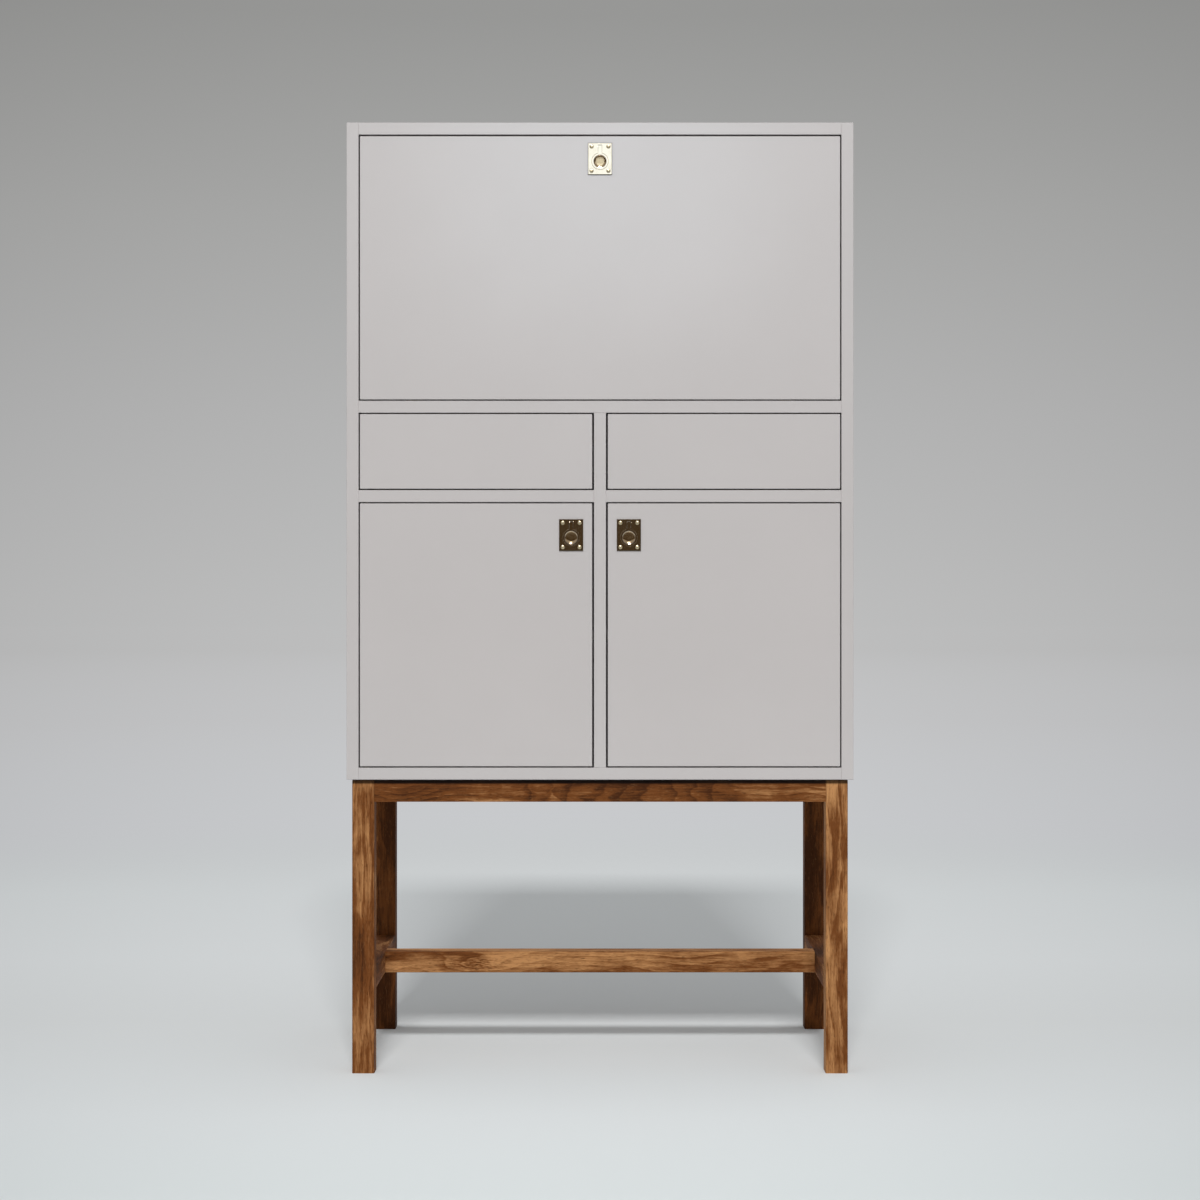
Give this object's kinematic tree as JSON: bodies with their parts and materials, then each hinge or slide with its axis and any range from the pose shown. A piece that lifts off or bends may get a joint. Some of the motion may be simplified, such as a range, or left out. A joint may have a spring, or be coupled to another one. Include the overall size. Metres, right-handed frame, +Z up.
{
  "type": "bar cabinet",
  "caption": "Free-standing bar cabinet: inset lacquered fronts with a drop-down serving shelf, drawers and hinged doors with flush ring pulls, on an open walnut stand.",
  "frame": {"origin": "on the floor, under the middle of the whole box", "axes": "+Z up, -Y is the front with flap, drawers and doors, X is the width"},
  "size_m": [0.8, 0.4226, 1.502],
  "materials": {
    "lacquer": "satin lacquered board, warm light grey",
    "walnut": "oiled solid walnut",
    "brass": "satin solid brass",
    "steel": "zinc plated steel",
    "birch": "clear lacquered birch ply",
    "pad": "black rubber",
    "catch": "moulded grey plastic with a magnet inside"
  },
  "bodies": {
    "cabinet": {"back_panel": "lacquer", "bar_floor": "lacquer", "bar_shelf": "lacquer", "bottom_panel": "lacquer", "centre_divider": "lacquer", "centre_stretcher": "walnut", "cupboard_shelf_left": "lacquer", "cupboard_shelf_right": "lacquer", "door_pivots": "brass", "drawer_shelf_left": "lacquer", "drawer_shelf_right": "lacquer", "flap_hinge_bases": "brass", "flap_hinge_pins": "steel", "front_leg_left": "walnut", "front_leg_right": "walnut", "front_rail": "walnut", "magnet_catches": "catch", "rear_leg_left": "walnut", "rear_leg_right": "walnut", "rear_rail": "walnut", "runner_cabinet_members": "steel", "shelf_pins": "steel", "side_panel_left": "lacquer", "side_panel_right": "lacquer", "side_rail_left": "walnut", "side_rail_right": "walnut", "side_stretcher_left": "walnut", "side_stretcher_right": "walnut", "stand_pads": "pad", "stand_screws": "steel", "stay_side_brackets": "brass", "top_panel": "lacquer"},
    "flap": {"flap": "lacquer", "flap_hinge_leaves": "brass", "stay_flap_brackets": "brass", "flap_strike_plate": "steel", "flap_pull_plate": "brass"},
    "flap_pull_ring": {"flap_pull_ring": "brass"},
    "stay_arm_left": {"stay_arm_left": "brass"},
    "stay_arm_right": {"stay_arm_right": "brass"},
    "door_left": {"door_left": "lacquer", "door_fittings_left": "brass", "door_left_pull_plate": "brass"},
    "door_left_pull_ring": {"door_left_pull_ring": "brass"},
    "drawer_left": {"drawer_front_left": "lacquer", "drawer_sides_left": "birch", "drawer_back_left": "birch", "drawer_bottom_left": "birch", "runner_drawer_members_left": "steel"},
    "runner_middles_left": {"runner_middles_left": "steel"},
    "door_right": {"door_right": "lacquer", "door_fittings_right": "brass", "door_right_pull_plate": "brass"},
    "door_right_pull_ring": {"door_right_pull_ring": "brass"},
    "drawer_right": {"drawer_front_right": "lacquer", "drawer_sides_right": "birch", "drawer_back_right": "birch", "drawer_bottom_right": "birch", "runner_drawer_members_right": "steel"},
    "runner_middles_right": {"runner_middles_right": "steel"}
  },
  "joints": [
    {"name": "flap_hinge", "type": "hinge", "parent": "cabinet", "child": "flap", "pos_m": [0, -0.20175, 1.051], "axis": [1, 0, 0], "range_deg": [0, 90]},
    {"name": "stay_arm_left_pivot", "type": "hinge", "parent": "flap", "child": "stay_arm_left", "pos_m": [-0.37525, -0.17775, 1.253], "axis": [1, 0, 0], "range_deg": [-45, 0]},
    {"name": "stay_arm_right_pivot", "type": "hinge", "parent": "flap", "child": "stay_arm_right", "pos_m": [0.37525, -0.17775, 1.253], "axis": [1, 0, 0], "range_deg": [-45, 0]},
    {"name": "flap_pull_ring_pivot", "type": "hinge", "parent": "flap", "child": "flap_pull_ring", "pos_m": [0, -0.20965, 1.4647], "axis": [-1, 0, 0], "range_deg": [0, 90]},
    {"name": "door_left_hinge", "type": "hinge", "parent": "cabinet", "child": "door_left", "pos_m": [-0.369, -0.20375, 0.6935], "axis": [0, 0, -1], "range_deg": [0, 105]},
    {"name": "door_left_pull_ring_pivot", "type": "hinge", "parent": "door_left", "child": "door_left_pull_ring", "pos_m": [-0.0455, -0.20965, 0.8712], "axis": [-1, 0, 0], "range_deg": [0, 90]},
    {"name": "drawer_left_slide", "type": "slide", "parent": "cabinet", "child": "drawer_left", "axis": [0, -1, 0], "range_m": [0, 0.3]},
    {"name": "runner_middles_left_slide", "type": "slide", "parent": "cabinet", "child": "runner_middles_left", "axis": [0, -1, 0], "range_m": [0, 0.15]},
    {"name": "door_right_hinge", "type": "hinge", "parent": "cabinet", "child": "door_right", "pos_m": [0.369, -0.20375, 0.6935], "axis": [0, 0, 1], "range_deg": [0, 105]},
    {"name": "door_right_pull_ring_pivot", "type": "hinge", "parent": "door_right", "child": "door_right_pull_ring", "pos_m": [0.0455, -0.20965, 0.8712], "axis": [-1, 0, 0], "range_deg": [0, 90]},
    {"name": "drawer_right_slide", "type": "slide", "parent": "cabinet", "child": "drawer_right", "axis": [0, -1, 0], "range_m": [0, 0.3]},
    {"name": "runner_middles_right_slide", "type": "slide", "parent": "cabinet", "child": "runner_middles_right", "axis": [0, -1, 0], "range_m": [0, 0.15]}
  ],
  "couplings": [
    {"joint": "stay_arm_left_pivot", "follows": "flap_hinge", "ratio": -0.5},
    {"joint": "stay_arm_right_pivot", "follows": "flap_hinge", "ratio": -0.5},
    {"joint": "runner_middles_left_slide", "follows": "drawer_left_slide", "ratio": 0.5},
    {"joint": "runner_middles_right_slide", "follows": "drawer_right_slide", "ratio": 0.5}
  ]
}
